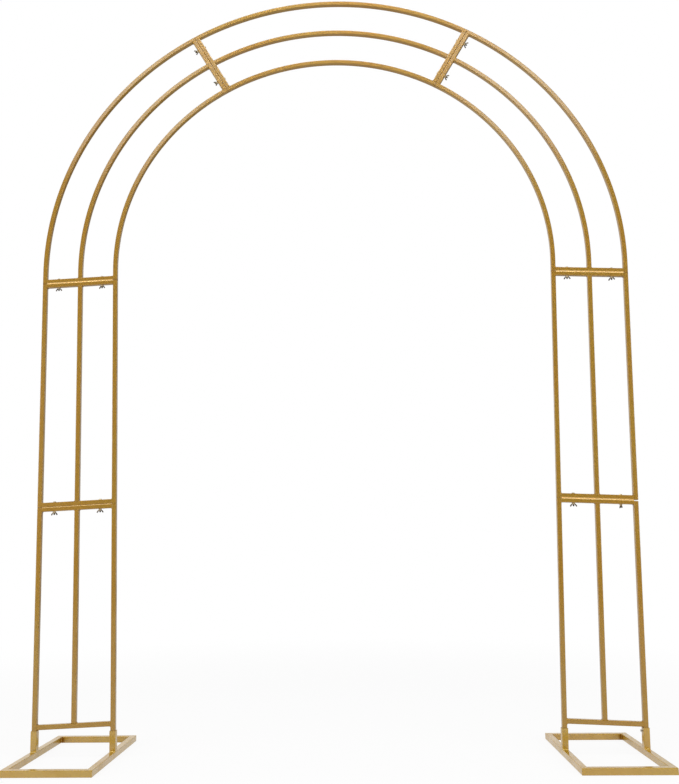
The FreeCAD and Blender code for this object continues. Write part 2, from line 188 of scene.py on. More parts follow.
class WeldSizes(bpy.types.PropertyGroup):
    fillet: length("Fillet", "Radius of a bead in an inside corner", 0.0017)
    flush: length("Flush bead", "Radius of a bead that was ground nearly flush", 0.0011)
    crown_height: length("Bead crown", "How far a flush bead stands proud", 0.0002)
    bend: length("Bead bend", "How far a bead is cut off at a tube's corner", 0.0011)
    foot_bend: length("Foot bend", "The same at a socket's foot", 0.0016)
    foot: length("Foot bead", "Radius of the bead round a socket's foot", 0.0022)
    ripple: length("Ripple", "Distance between the ripples of a bead", 0.0014)
    step: length("Bead step", "Distance between sections of a bead", 0.00045)


class Finishes(bpy.types.PropertyGroup):
    gold: colour("Gold", "Paint on flat faces", (0.390, 0.203, 0.013))
    gold_deep: colour("Deep gold", "Paint where it lies thick", (0.357, 0.169, 0.008))
    gold_olive: colour("Olive gold", "Cooler patches of the paint", (0.382, 0.225, 0.018))
    gold_edge: colour("Gold edge", "Paint that is thin over an edge", (0.42, 0.235, 0.026))
    # Painted shade in the groove of a seam
    gold_seam_shade: colour("Packed gold", "Paint and dust packed into a seam", (0.23, 0.080, 0.002))
    # Painted highlight below a seam
    gold_seam_highlight: colour("Rubbed gold", "Paint rubbed bright below a seam", (1.0, 0.72, 0.30))
    zinc: colour("Zinc", "Plated fasteners", (0.62, 0.60, 0.56))
    zinc_dark: colour("Dark zinc", "Fasteners where they are dull", (0.38, 0.36, 0.32))
    # Painted shade on wing tips and bolt tails
    zinc_shade: colour("Zinc tip", "Wing tips and bolt tails, dark with handling", (0.030, 0.024, 0.018))
    floor: colour("Floor", "Studio floor", (0.50, 0.50, 0.50))
    floor_grain: colour("Floor grain", "Cloudy patches of the floor", (0.45, 0.45, 0.45))
    floor_viewed: colour("Viewed floor", "The floor as a viewer sees it near the arch", (0.90, 0.90, 0.90))


class Studio(bpy.types.PropertyGroup):
    key: amount("Key lamp", "Power of the wide overhead lamp in watts", 33.0, 5000.0)
    near: amount("Near lamp", "Power of the small lamp above the crown in watts", 15.0, 5000.0)
    strip: amount("Strip lamp", "Power of the narrow lamp overhead in watts", 22.0, 5000.0)
    window: amount("Window lamps", "Power of each soft window lamp in watts", 15.5, 5000.0)
    fill: amount("Fill lamps", "Power of each side lamp in watts", 59.0, 5000.0)
    world: amount("World light", "Strength of the even light from all round", 0.56)
    behind: amount("Behind the viewer", "Brightness of the room behind the viewer in reflections", 0.15)
    shadow: amount("Floor shadow", "How much of the real floor a viewer sees near the arch", 0.12)
    floor: length("Floor", "Half of the floor's width", 60.0)
    floor_drop: length("Floor drop", "How far the floor lies below the arch", 0.0003)
    lens: amount("Lens", "Focal length in millimetres on a 36 mm high frame", 35.7184, 200.0)


GROUPS = {
    "arch_sizes": ArchSizes, "base_sizes": BaseSizes, "fastener_sizes": FastenerSizes,
    "weld_sizes": WeldSizes, "arch_finishes": Finishes, "arch_studio": Studio,
}


def settings(group):
    return getattr(bpy.context.scene, group)


# Node trees

def arithmetic(operation, swapped=False):
    def method(self, other):
        return self.net.maths(operation, *((other, self) if swapped else (self, other)))
    return method


class Wire:
    """An output socket that takes part in sums."""

    def __init__(self, net, socket):
        self.net, self.socket = net, socket

    __add__, __radd__ = arithmetic("ADD"), arithmetic("ADD", True)
    __sub__, __rsub__ = arithmetic("SUBTRACT"), arithmetic("SUBTRACT", True)
    __mul__, __rmul__ = arithmetic("MULTIPLY"), arithmetic("MULTIPLY", True)
    __truediv__ = arithmetic("DIVIDE")


class Net:
    """A node tree of any kind, filled one node at a time."""

    def __init__(self, tree):
        self.tree = tree

    def node(self, kind, sockets=None, out=0, **how):
        made = self.tree.nodes.new(kind)
        for name, value in how.items():
            setattr(made, name, value)
        self.feed(made, sockets or {})
        return Wire(self, made.outputs[out])

    def feed(self, target, sockets):
        for key, value in sockets.items():
            if isinstance(value, Wire):
                self.tree.links.new(value.socket, target.inputs[key])
            else:
                target.inputs[key].default_value = value

    def outputs(self, kind, labels, sockets=None):
        """Several outputs of one node."""
        made = self.tree.nodes.new(kind)
        self.feed(made, sockets or {})
        return [Wire(self, made.outputs[label]) for label in labels]

    def finish(self, kind, surface):
        """Joins a shader to the tree's output node."""
        leave = next(node for node in self.tree.nodes if node.type == kind)
        self.tree.links.new(surface.socket, leave.inputs["Surface"])

    def maths(self, operation, *values):
        return self.node("ShaderNodeMath", dict(enumerate(values)), operation=operation)

    def larger(self, one, other):
        return self.maths("MAXIMUM", one, other)

    def spread(self, value, low, high, to_low=0.0, to_high=1.0):
        """A smooth step between low and high, from to_low to to_high."""
        return self.node("ShaderNodeMapRange", {0: value, 1: low, 2: high, 3: to_low, 4: to_high},
                         interpolation_type="SMOOTHSTEP")

    def noise(self, place, scale, detail=3.0, roughness=0.55, distortion=0.0):
        """Noise from 0 to 1 with about as many spots in a metre as the scale says."""
        return self.node("ShaderNodeTexNoise", {"Vector": place, "Scale": scale, "Detail": detail,
                                                "Roughness": roughness, "Distortion": distortion})

    def blend(self, factor, one, other, how="MIX"):
        return self.node("ShaderNodeMix", {0: factor, 6: one, 7: other}, out=2, data_type="RGBA", blend_type=how)

    def tinted(self, body, tint):
        return self.blend(1.0, body, tint, "MULTIPLY")

    def mix(self, factor, one, other):
        return self.node("ShaderNodeMixShader", {0: factor, 1: one, 2: other})

    def mark(self, attribute):
        """A point attribute, read by a finish."""
        return self.node("ShaderNodeAttribute", out="Fac", attribute_name=attribute)

    def named(self, attribute, kind="FLOAT"):
        """A point attribute, read by a geometry tree."""
        return self.node("GeometryNodeInputNamedAttribute", {"Name": attribute}, data_type=kind)

    def rays(self):
        """Which ray asks: the camera's own, a mirrored one, or one through glass."""
        return self.outputs("ShaderNodeLightPath", ("Is Camera Ray", "Is Glossy Ray", "Is Transmission Ray"))


def opaque(rgb):
    return (*rgb, 1.0)


def new_tree(name, inputs):
    """A geometry tree with a Geometry input and output, and one named input per size."""
    tree = bpy.data.node_groups.new(name, "GeometryNodeTree")
    tree.interface.new_socket("Geometry", in_out="INPUT", socket_type="NodeSocketGeometry")
    for label, kind, value in inputs:
        socket = tree.interface.new_socket(label, in_out="INPUT", socket_type=kind)
        if value is not None:
            socket.default_value = value
    tree.interface.new_socket("Geometry", in_out="OUTPUT", socket_type="NodeSocketGeometry")
    net = Net(tree)
    entry = tree.nodes.new("NodeGroupInput")
    return net, {socket.name: Wire(net, socket) for socket in entry.outputs if socket.name}


def close_tree(net, geometry, material):
    """Ends a tree in Realize Instances and Set Material."""
    real = net.node("GeometryNodeRealizeInstances", {"Geometry": geometry})
    dressed = net.node("GeometryNodeSetMaterial", {"Geometry": real, "Material": material})
    leave = net.tree.nodes.new("NodeGroupOutput")
    net.tree.links.new(dressed.socket, leave.inputs["Geometry"])
    return net.tree


def square_tube_tree():
    """Draws a square section along a flat path. The section's corners keep their place to the front."""
    net, given = new_tree("square_tube", [
        ("Section", "NodeSocketObject", None), ("Front", "NodeSocketVector", (0.0, 1.0, 0.0)),
        ("Material", "NodeSocketMaterial", None)])
    path = net.node("GeometryNodeMeshToCurve", {"Mesh": given["Geometry"]})
    path = net.node("GeometryNodeSetCurveNormal", {"Curve": path, "Normal": given["Front"]}, mode="FREE")
    section = net.node("GeometryNodeObjectInfo", {"Object": given["Section"]}, out="Geometry")
    section = net.node("GeometryNodeMeshToCurve", {"Mesh": section})
    skin = net.node("GeometryNodeCurveToMesh", {
        "Curve": path, "Profile Curve": section, "Scale": net.named(SIZE)})
    return close_tree(net, skin, given["Material"])


def weld_bead_tree():
    """Draws a rippled bead along each path. The path's own size attribute thins and thickens it."""
    net, given = new_tree("weld_bead", [
        ("Step", "NodeSocketFloat", 0.0005), ("Ripple", "NodeSocketFloat", 0.0014),
        ("Unevenness", "NodeSocketFloat", 0.16), ("Material", "NodeSocketMaterial", None)])
    ripple, uneven = given["Ripple"], given["Unevenness"]
    path = net.node("GeometryNodeMeshToCurve", {"Mesh": given["Geometry"]})
    path = net.node("GeometryNodeResampleCurve", {"Curve": path, "Length": given["Step"]}, mode="LENGTH")
    along = net.node("GeometryNodeSplineParameter", out="Length")
    wobble = net.noise(net.node("GeometryNodeInputPosition"), 420.0, 2.0) - 0.5
    wave = net.maths("ABSOLUTE", net.maths("SINE", (along + wobble * ripple) * math.pi / ripple))
    ring = net.node("GeometryNodeCurvePrimitiveCircle", {"Resolution": 8, "Radius": 1.0})
    bead = net.node("GeometryNodeCurveToMesh", {
        "Curve": path, "Profile Curve": ring, "Fill Caps": True,
        "Scale": net.named(SIZE) * (1.0 - uneven + uneven * wave + wobble * uneven)})
    bead = net.node("GeometryNodeSetShadeSmooth", {"Geometry": bead})
    return close_tree(net, bead, given["Material"])


def fastener_tree():
    """Sets a copy of one fastener on each point, turned as the point says."""
    net, given = new_tree("fasteners_on_points", [
        ("Fastener", "NodeSocketObject", None), ("Material", "NodeSocketMaterial", None)])
    model = net.node("GeometryNodeObjectInfo", {"Object": given["Fastener"]}, out="Geometry")
    copies = net.node("GeometryNodeInstanceOnPoints", {
        "Points": given["Geometry"], "Instance": model, "Rotation": net.named(TURN, "FLOAT_VECTOR")})
    return close_tree(net, copies, given["Material"])


def knurl_tree():
    """Adds ribs round a thumb screw's head."""
    net, given = new_tree("knurled_ribs", [
        ("Ribs", "NodeSocketInt", 24), ("Radius", "NodeSocketFloat", 0.0045),
        ("Start", "NodeSocketFloat", 0.003), ("Grip", "NodeSocketFloat", 0.005),
        ("Rib width", "NodeSocketFloat", 0.00042), ("Material", "NodeSocketMaterial", None)])
    ring = net.node("GeometryNodeMeshCircle", {"Vertices": given["Ribs"], "Radius": given["Radius"]})
    lift = net.node("ShaderNodeCombineXYZ", {"Z": given["Start"] + given["Grip"] * 0.5})
    ring = net.node("GeometryNodeTransform", {"Geometry": ring, "Translation": lift})
    rib = net.node("GeometryNodeMeshCylinder", {
        "Vertices": 6, "Radius": given["Rib width"], "Depth": given["Grip"] * 0.86})
    ribs = net.node("GeometryNodeInstanceOnPoints", {"Points": ring, "Instance": rib})
    both = net.tree.nodes.new("GeometryNodeJoinGeometry")
    real = net.node("GeometryNodeRealizeInstances", {"Geometry": ribs})
    net.tree.links.new(given["Geometry"].socket, both.inputs[0])
    net.tree.links.new(real.socket, both.inputs[0])
    return close_tree(net, Wire(net, both.outputs[0]), given["Material"])


# Materials

def principled(name):
    """A new material with its tree, its shader and the place in object coordinates."""
    material = bpy.data.materials.new(name)
    material.use_nodes = True
    net = Net(material.node_tree)
    shader = next(node for node in material.node_tree.nodes if node.type == "BSDF_PRINCIPLED")
    return material, net, shader, net.node("ShaderNodeTexCoord", out="Object")


def gold_paint(name, tone, thick, gloss):
    """Metallic gold lacquer over steel: slow drifts of tone, fine flake, orange peel, thin bright edges, painted
    shade in seams and a painted highlight below some of them.
    """
    finish = settings("arch_finishes")
    material, net, shader, place = principled(name)
    drift = net.spread(net.noise(place, 3.1, 2.0), 0.35, 0.65)
    cloud = net.spread(net.noise(place, 47.0, 4.0, 0.6, 0.4), 0.3, 0.7)
    flake = net.noise(place, 2600.0, 1.0)
    thin = net.spread(net.noise(place, 130.0, 5.0, 0.7), 0.42, 0.62)
    handled = net.spread(net.noise(place, 19.0, 5.0, 0.62, 0.8), 0.35, 0.7)
    seam = net.mark(SEAM)
    # Painted shade in seams, at tube ends beside joints and in a base corner, which also takes the coat away
    # there, and a painted highlight below some seams
    seam_shade, seam_highlight = net.spread(seam, 0.05, 0.75), net.spread(seam * PAINTED_HIGHLIGHT, 0.0, 0.2)
    body = net.blend(drift * 0.75, opaque(finish.gold), opaque(finish.gold_olive))
    body = net.blend(cloud * (0.25 + 0.25 * thick), body, opaque(finish.gold_deep))
    body = net.blend(net.mark(EDGE) * (0.2 + 0.3 * thin), body, opaque(finish.gold_edge))
    body = net.blend(seam_highlight, body, opaque(finish.gold_seam_highlight))
    body = net.blend(seam_shade * 0.95, body, opaque(finish.gold_seam_shade))
    speck = 0.96 + 0.08 * flake
    body = net.tinted(body, net.node("ShaderNodeCombineColor", {0: speck, 1: speck, 2: speck}))
    peel, sag = net.noise(place, 620.0, 2.0, 0.5), net.noise(place, 95.0, 3.0, 0.5)
    bump = net.node("ShaderNodeBump", {"Strength": 0.03, "Distance": 0.0001, "Height": peel * 0.04 + sag})
    net.feed(shader, {
        "Base Color": net.tinted(body, opaque(tone)), "Metallic": 0.47 + 0.06 * flake,
        "Roughness": 0.56 + 0.08 * handled, "IOR": 1.35, "Normal": bump,
        "Coat Weight": (1.0 - 0.2 * handled) * (1.0 - seam_shade), "Coat Roughness": 0.17, "Coat IOR": gloss})
    return material


def zinc_plate(name, tone):
    """Dull plated steel with streaks, patches of wear, and painted shade darkening the wing tips and bolt tails.
    """
    finish = settings("arch_finishes")
    material, net, shader, place = principled(name)
    stretch = net.node("ShaderNodeMapping", {"Vector": place, "Scale": (1.0, 1.0, 7.0)})
    streak = net.spread(net.noise(stretch, 240.0, 4.0, 0.65), 0.35, 0.65)
    patch = net.spread(net.noise(place, 120.0, 3.0), 0.4, 0.6)
    grain = net.noise(stretch, 2100.0, 2.0)
    body = net.blend(streak * 0.6 + patch * 0.3, opaque(finish.zinc), opaque(finish.zinc_dark))
    # Painted shade on the wings and bolt tails
    body = net.blend(net.mark(EDGE) * (0.75 + 0.2 * patch), body, opaque(finish.zinc_shade))
    bump = net.node("ShaderNodeBump", {"Strength": 0.3, "Distance": 0.00006, "Height": grain + streak * 0.5})
    net.feed(shader, {
        "Base Color": net.tinted(body, opaque(tone)), "Metallic": 1.0 - 0.1 * patch,
        "Roughness": 0.24 + 0.16 * streak, "Normal": bump})
    return material


def floor_finish(name):
    """A pale floor: what looks at it or mirrors it sees near white, and the arch's own shadow stays on it."""
    finish, studio = settings("arch_finishes"), settings("arch_studio")
    material, net, shader, place = principled(name)
    grain = net.noise(place, 35.0, 4.0)
    net.feed(shader, {
        "Base Color": net.blend(grain * 0.06, opaque(finish.floor), opaque(finish.floor_grain)),
        "Roughness": 0.75, "IOR": 1.2})
    floor = Wire(net, shader.outputs[0])
    viewed, mirrored, through = net.rays()
    seen = net.larger(net.larger(viewed, mirrored), through)
    away = net.node("ShaderNodeVectorMath", {0: place}, out="Value", operation="LENGTH")
    near = net.spread(away, 1.1, 3.4, 1.0, 0.0) * studio.shadow
    pool = net.spread(away, 0.9, 2.0, 0.1, 1.0) * net.spread(away, 4.0, 6.5, 1.0, 0.0)
    near = net.larger(near, mirrored * pool)
    matt = net.node("ShaderNodeBsdfDiffuse", {"Color": opaque(finish.floor_viewed)})
    across, depth = net.outputs("ShaderNodeSeparateXYZ", "XY", {"Vector": place})
    room = net.spread(depth, -4.5, -1.2, studio.behind, 1.0) * net.spread(across, 1.5, 4.0, 1.0, 0.2)
    white = net.node("ShaderNodeEmission", {"Color": WHITE, "Strength": net.larger(viewed, room)})
    shown = net.mix(near, white, net.mix(seen, floor, matt))
    net.finish("OUTPUT_MATERIAL", net.mix(seen, floor, shown))
    return material


# A maker for each finish, with the tone, thickness and gloss that it is given
FINISH_MAKERS = {
    "gold_panel_paint": (gold_paint, (1.0, 1.0, 1.0), 0.0, 1.62),
    # The base's paint is a lighter copy of the panel paint: painted light standing in for the brighter light
    # near the floor
    "gold_base_paint": (gold_paint, (1.26, 1.38, 1.0), 0.3, 1.9),
    "gold_weld_paint": (gold_paint, (0.97, 0.97, 0.95), 1.0, 1.4),
    # Base weld beads toned much lighter and whiter: a painted highlight standing in for glints on the beads
    "gold_foot_paint": (gold_paint, (1.7, 2.1, 4.0), 0.0, 1.9),
    "zinc_plate": (zinc_plate, (1.0, 1.0, 1.0)),
    "brown_zinc": (zinc_plate, (0.90, 0.74, 0.50)),
    "tan_zinc": (zinc_plate, (1.0, 0.86, 0.58)),
    "pale_floor": (floor_finish,),
}


def finish_named(name):
    if name not in bpy.data.materials:
        maker, *values = FINISH_MAKERS[name]
        maker(name, *values)
    return bpy.data.materials[name]


# Places on the arch

def arch_height():
    """Floor to the centre of the round part."""
    s = settings("arch_sizes")
    rail = s.springing + s.upper_leg + s.lower_leg
    return s.rail_height + s.radius * math.sin(s.lean) + rail * math.cos(s.lean)


def row_radius(row):
    s = settings("arch_sizes")
    return s.radius + row * s.spacing


def row_back(row):
    """How far a tube stops short of a joint: the middle one by the rail that it ends on."""
    s = settings("arch_sizes")
    return s.tube if row == 0 else s.joint_gap


def leg_spot(side, reach, drop, depth=0.0):
    """A point of a leg: reach from the arch's middle and drop below its centre, both along the lean."""
    s = settings("arch_sizes")
    across, down = math.cos(s.lean), math.sin(s.lean)
    return Vector((side * (reach * across - drop * down), depth, arch_height() - reach * down - drop * across))


def arc_spot(reach, turn):
    """A point of the round part, turn counted from the top towards the right."""
    return Vector((reach * math.sin(turn), 0.0, arch_height() + reach * math.cos(turn)))


def crown_spot(side, reach, along, depth=0.0):
    """A point beside a crown joint, along counted from the joint towards the leg."""
    s = settings("arch_sizes")
    sine, cosine = math.sin(s.crown), math.cos(s.crown)
    return Vector((side * (reach * sine + along * cosine), depth, arch_height() + reach * cosine - along * sine))


def foot_place(side, row):
    """Where a leg tube's centreline meets the top of its base bar."""
    s, b = settings("arch_sizes"), settings("base_sizes")
    place = row_radius(row) / math.cos(s.lean) - (arch_height() - b.bar) * math.tan(s.lean)
    return Vector((side * place, 0.0, b.bar))


# Meshes

def add_object(name, data):
    made = bpy.data.objects.new(name, data)
    bpy.context.scene.collection.objects.link(made)
    return made


def mesh_of(name, points, edges=(), faces=()):
    mesh = bpy.data.meshes.new(name)
    mesh.from_pydata([tuple(point) for point in points], edges, faces)
    return mesh


def write(mesh, attribute, values, kind="FLOAT", key="value"):
    """Sets an attribute point by point."""
    mesh.attributes.new(attribute, kind, "POINT").data.foreach_set(key, values)
    return mesh


def path_mesh(name, runs):
    """Loose edges for the node trees. A run is a list of points, whether it closes, and a size per point."""
    points, edges, sizes = [], [], []
    for spots, closed, scale in runs:
        first = len(points)
        points += spots
        sizes += scale if isinstance(scale, list) else [scale] * len(spots)
        edges += [(first + i, first + i + 1) for i in range(len(spots) - 1)]
        if closed:
            edges.append((len(points) - 1, first))
    return write(mesh_of(name, points, edges), SIZE, sizes)


def section_object(name, width, corner, steps=3, border=0.0006):
    """A square with rounded corners. Its edge attribute is 1 on the corners and 0 on the flats."""
    half, hub = width / 2, width / 2 - corner
    bends = [step * math.pi / 2 / steps for step in range(steps + 1)]
    rounding = [(hub + corner * math.cos(bend), hub + corner * math.sin(bend), 0.0) for bend in bends]
    quarter = [(half, hub - border, 0.0), *rounding, (hub - border, half, 0.0)]
    points = [Matrix.Rotation(i * math.pi / 2, 3, "Z") @ Vector(spot) for i in range(4) for spot in quarter]
    edges = [(i, (i + 1) % len(points)) for i in range(len(points))]
    marks = ([0.0] + [1.0] * len(bends) + [0.0]) * 4
    return add_object(name, write(mesh_of(name, points, edges), EDGE, marks))


def apply_tree(target, tree, values):
    """Adds a node tree to an object and sets its inputs by their identifiers."""
    modifier = target.modifiers.new(tree.name, "NODES")
    modifier.node_group = tree
    for item in tree.interface.items_tree:
        if item.item_type == "SOCKET" and item.in_out == "INPUT" and item.name in values:
            modifier[item.identifier] = values[item.name]


TREE_MAKERS = {"square_tube": square_tube_tree, "weld_bead": weld_bead_tree,
               "fasteners_on_points": fastener_tree, "knurled_ribs": knurl_tree}


def tree_named(name):
    return bpy.data.node_groups[name] if name in bpy.data.node_groups else TREE_MAKERS[name]()


def plain(work, name, smooth=35.0):
    """Turns an object and its modifiers into one plain mesh object, with soft and sharp edges by angle."""
    graph = bpy.context.evaluated_depsgraph_get()
    mesh = bpy.data.meshes.new_from_object(
        work.evaluated_get(graph), preserve_all_data_layers=True, depsgraph=graph)
    drop(work)
    mesh.name = name
    mesh.shade_smooth()
    mesh.set_sharp_from_angle(angle=math.radians(smooth))
    check_shell(name, mesh)
    return add_object(name, mesh)


def drop(thing):
    mesh = thing.data
    bpy.data.objects.remove(thing)
    if mesh.users == 0:
        bpy.data.meshes.remove(mesh)


def check_shell(name, mesh):
    shell = bmesh.new()
    shell.from_mesh(mesh)
    loose = sum(1 for edge in shell.edges if len(edge.link_faces) != 2)
    volume = shell.calc_volume(signed=True)
    shell.free()
    if loose or volume <= 0.0:
        raise RuntimeError(f"{name} isn't closed with outward faces: {loose} open edges, volume {volume}")


def solid(name, rings, capped=True):
    """A closed mesh through rings of equal size, capped at both ends, or joined end to end."""
    count = len(rings[0])
    points = [spot for ring in rings for spot in ring]
    faces = []
    for row in range(len(rings) - 1 if capped else len(rings)):
        below, above = row * count, (row + 1) % len(rings) * count
        for i in range(count):
            j = (i + 1) % count
            faces.append((below + i, below + j, above + j, above + i))
    if capped:
        faces.append(tuple(reversed(range(count))))
        faces.append(tuple(range(len(points) - count, len(points))))
    mesh = mesh_of(name, points, [], faces)
    mesh.update()
    return mesh


def circle(radii, z):
    """A ring of points round Z, with one radius per point."""
    turns = [2 * math.pi * i / len(radii) for i in range(len(radii))]
    return [(r * math.cos(turn), r * math.sin(turn), z) for r, turn in zip(radii, turns)]


def turned(name, outline, steps, capped=True):
    """A turned form: each (radius, height) of the outline becomes a ring."""
    return solid(name, [circle([r] * steps, z) for r, z in outline], capped)


def clamped(value):
    return min(1.0, max(0.0, value))


def merged(name, meshes):
    """Several closed meshes as one, with their faces turned outward."""
    whole = bmesh.new()
    for mesh in meshes:
        whole.from_mesh(mesh)
    bmesh.ops.recalc_face_normals(whole, faces=whole.faces)
    result = bpy.data.meshes.new(name)
    whole.to_mesh(result)
    whole.free()
    for mesh in meshes:
        bpy.data.meshes.remove(mesh)
    return result


def keep(piece, slot, *nodes, slack=0.004):
    """Parents a finished piece to the root body's empty, hides the CAD nodes that it stands for and checks that
    it fills their box.
    """
    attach(piece, BODY)
    if nodes:
        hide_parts(*nodes)
        stays_put(piece, nodes, slack)


def stays_put(piece, nodes, slack):
    """A piece that stands for CAD nodes fills the same box."""
    boxes = [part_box(node) for node in nodes]
    spots = [vertex.co for vertex in piece.data.vertices]
    for axis in range(3):
        low = min(box[0][axis] for box in boxes) - min(spot[axis] for spot in spots)
        high = max(box[1][axis] for box in boxes) - max(spot[axis] for spot in spots)
        if max(abs(low), abs(high)) > slack:
            raise RuntimeError(f"{piece.name} leaves the box of {nodes}: {low:.4f}, {high:.4f} on axis {axis}")


# Square tube

def with_rounded_ends(spots):
    """A run with small steps that round its cut ends, and the scale of the section at each point."""
    s = settings("arch_sizes")
    depth = s.end_round

    def end(spot, beside):
        inward = (beside - spot).normalized() * depth
        return [(spot + inward * off, 1.0 - 2.0 * cut * depth / s.tube)
                for off, cut in ((0.0, 1.0), (0.3, 0.3), (1.0, 0.0), (END_STEPS, 0.0))]

    rows = end(spots[0], spots[1]) + [(spot, 1.0) for spot in spots[1:-1]] + end(spots[-1], spots[-2])[::-1]
    return [spot for spot, _ in rows], False, [scale for _, scale in rows]


def tube_piece(name, runs, width, corner, wall, material, front=(0.0, 1.0, 0.0)):
    """Hollow square tube along each run."""
    section = section_object("tube_section", width, corner)
    work = add_object(name + "_path", path_mesh(name + "_path", runs))
    apply_tree(work, tree_named("square_tube"), {
        "Section": section, "Front": front, "Material": finish_named(material)})
    skin = work.modifiers.new("wall", "SOLIDIFY")
    skin.thickness, skin.offset, skin.use_even_offset = wall, -1.0, True
    piece = plain(work, name)
    drop(section)
    return piece


def cut_ends(piece, ends):
    """Moves the end rings of straight tubes along their axis onto a plane. An end is (point, axis, normal)."""
    reach = settings("base_sizes").bar
    for vertex in piece.data.vertices:
        point, axis, normal = min(ends, key=lambda end: (vertex.co - end[0]).length)
        if (vertex.co - point).length < reach:
            vertex.co += axis * ((point - vertex.co).dot(normal) / axis.dot(normal))


def side_arch_run(side, row):
    """Path of a rolled tube from the springing joint to the crown joint."""
    s = settings("arch_sizes")
    reach, back = row_radius(row), row_back(row)
    start, stop = math.pi / 2 + s.lean, s.crown + math.asin(back / reach)
    count = round((start - stop) / s.arc_step)
    turns = [side * (start + (stop - start) * i / count) for i in range(count + 1)]
    return [leg_spot(side, reach, s.springing - back)] + [arc_spot(reach, turn) for turn in turns]


def crown_run(row):
    s = settings("arch_sizes")
    reach = row_radius(row)
    stop = s.crown - math.asin(row_back(row) / reach)
    count = round(2 * stop / s.arc_step)
    return [arc_spot(reach, -stop + 2 * stop * i / count) for i in range(count + 1)]


def leg_run(side, row, top, bottom):
    return [leg_spot(side, row_radius(row), drop) for drop in (top, bottom)]


def rail_run(spot, at):
    """A rail from the outer tube's inside face to the inner tube's."""
    s = settings("arch_sizes")
    half = s.tube / 2
    return [spot(row_radius(1) - half, at), spot(row_radius(-1) + half, at)]


def panel_tube(panel, row_name, points, end_shade=(END_SHADE, END_SHADE)):
    """One tube of a panel. The outer and inner rows are darkened with painted shade where they meet the next
    panel.
    """
    s = settings("arch_sizes")
    node = f"{panel}_{row_name}_tube"
    piece = tube_piece("painted_" + node, [with_rounded_ends(points)], s.tube, s.corner, s.wall,
                       "gold_panel_paint")
    if row_name != "middle":
        ends = [(points[0], (points[1] - points[0]).normalized(), end_shade[0]),
                (points[-1], (points[-1] - points[-2]).normalized(), end_shade[1])]
        reach = END_STEPS * s.end_round
        write(piece.data, SEAM, [
            max(kind * max(0.0, 1.0 - abs((v.co - spot).dot(axis)) / reach) for spot, axis, kind in ends)
            for v in piece.data.vertices])
    keep(piece, PANEL_SLOT, node)


def panel_rails(panel, runs, seams):
    """The rails of a panel. A seam is (spot, at, kind): its plane, and the painted shade or painted highlight
    that the paint beside it gets.
    """
    s = settings("arch_sizes")
    node = f"{panel}_rails"
    piece = tube_piece("painted_" + node, [(run, False, 1.0) for run in runs], s.tube, s.rail_corner, s.wall,
                       "gold_panel_paint")
    planes = [(spot(s.radius, at), (spot(s.radius, at + 1.0) - spot(s.radius, at)).normalized(), kind)
              for spot, at, kind in seams]
    nearest = [min((abs((v.co - point).dot(axis)), kind) for point, axis, kind in planes)
               for v in piece.data.vertices]
    write(piece.data, SEAM, [kind * max(0.0, 1.0 - away / (s.rail_corner + s.seam_border))
                             for away, kind in nearest])
    keep(piece, PANEL_SLOT, node)


# Weld beads

def bead_round(spot, reach, centre, half, open_side=0):
    """Path of the bead round a rail's or tube's end, fillets above and below and flush beads between.

    spot(reach, along, depth) gives the place, along being counted across the rail. open_side is -1 or 1 where
    that side lies against the next panel and has no bead, and 0 where the bead closes.
    """
    w = settings("weld_sizes")
    out, flat = half + 0.15 * w.fillet, half - w.flush + w.crown_height
    near, rise, far = out - w.bend, w.bend - flat, -open_side or 1
    front = [(far * near, -flat, w.flush), (far * out, rise, w.fillet)]
    if open_side:
        edge = open_side * half
        front = [(edge * 0.82, -flat, w.flush * 0.35), (edge * 0.6, -flat, w.flush)] + front
    else:
        front = [(-out, rise, w.fillet), (-near, -flat, w.flush)] + front
    path = front + [(along, -depth, size) for along, depth, size in reversed(front)]
    if not open_side:
        path = path[1:] + path[:1]
    spots = [spot(reach, centre + along, depth) for along, depth, _ in path]
    return spots, not open_side, [size for _, _, size in path]


def panel_beads(spot, at, open_side, half):
    """Beads of one rail: its two ends, and the middle tube's end on it."""
    side = -open_side or -1

    def across(reach, along, depth):
        return spot(along, reach, depth)

    return [bead_round(spot, row_radius(1) - half, at, half, open_side),
            bead_round(spot, row_radius(-1) + half, at, half, open_side),
            bead_round(across, at + side * half, row_radius(0), half)]


def bead_piece(name, runs, slot):
    w = settings("weld_sizes")
    # Base welds take the much lighter paint, a painted highlight
    finish = "gold_weld_paint" if slot == PANEL_SLOT else "gold_foot_paint"
    work = add_object(name + "_path", path_mesh(name + "_path", runs))
    apply_tree(work, tree_named("weld_bead"), {
        "Step": w.step, "Ripple": w.ripple, "Material": finish_named(finish)})
    keep(plain(work, name, 60.0), slot)


# Fasteners

def hexagon(radius, turn):
    """Distance to a hexagon's side in a direction."""
    sixth = math.pi / 3
    return radius * math.cos(sixth / 2) / math.cos((turn % sixth) - sixth / 2)


def thread_rings(radius, start, end, rows, taper=0.0):
    """Rings of a threaded shank, which narrows over the length of the taper towards its end."""
    f = settings("fastener_sizes")
    rings = []
    for row in range(rows + 1):
        z = start + (end - start) * row / rows
        full = clamped((end - z) / taper) if taper else 1.0
        teeth = [abs((z / f.pitch - i / THREAD_STEPS) % 1.0 * 2.0 - 1.0) for i in range(THREAD_STEPS)]
        rings.append(circle([(radius - f.tooth * tooth) * (0.78 + 0.22 * full) for tooth in teeth], z))
    return rings


